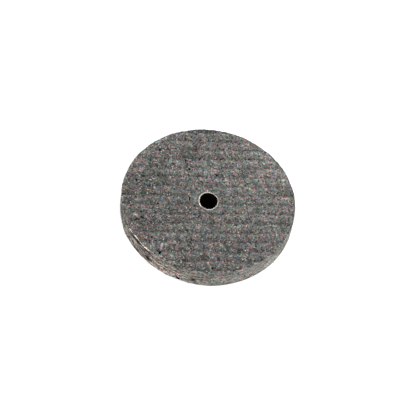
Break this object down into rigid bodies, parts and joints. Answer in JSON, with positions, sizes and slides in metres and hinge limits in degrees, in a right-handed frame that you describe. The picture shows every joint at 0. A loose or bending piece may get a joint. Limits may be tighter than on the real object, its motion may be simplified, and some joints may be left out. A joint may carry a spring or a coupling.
{
  "type": "felt polishing wheel",
  "caption": "Flat grey polishing disc of felted cloth plies bonded face to face, with a small central arbor bore for a screw mandrel.",
  "frame": {"origin": "on the wheel's axis at its back face, the face it rests on", "axes": "+Z along the wheel's axis from the back face to the front face, +X along the weave's rows"},
  "size_m": [0.0254, 0.0254, 0.0032],
  "materials": {
    "face_felt": "matte",
    "inner_felt": "matte",
    "bond_resin": "satin"
  },
  "bodies": {
    "root": {"back_face_ply": "face_felt", "back_inner_ply": "inner_felt", "core_ply": "inner_felt", "front_inner_ply": "inner_felt", "front_face_ply": "face_felt", "back_outer_bond_film": "bond_resin", "back_inner_bond_film": "bond_resin", "front_inner_bond_film": "bond_resin", "front_outer_bond_film": "bond_resin"}
  },
  "joints": []
}
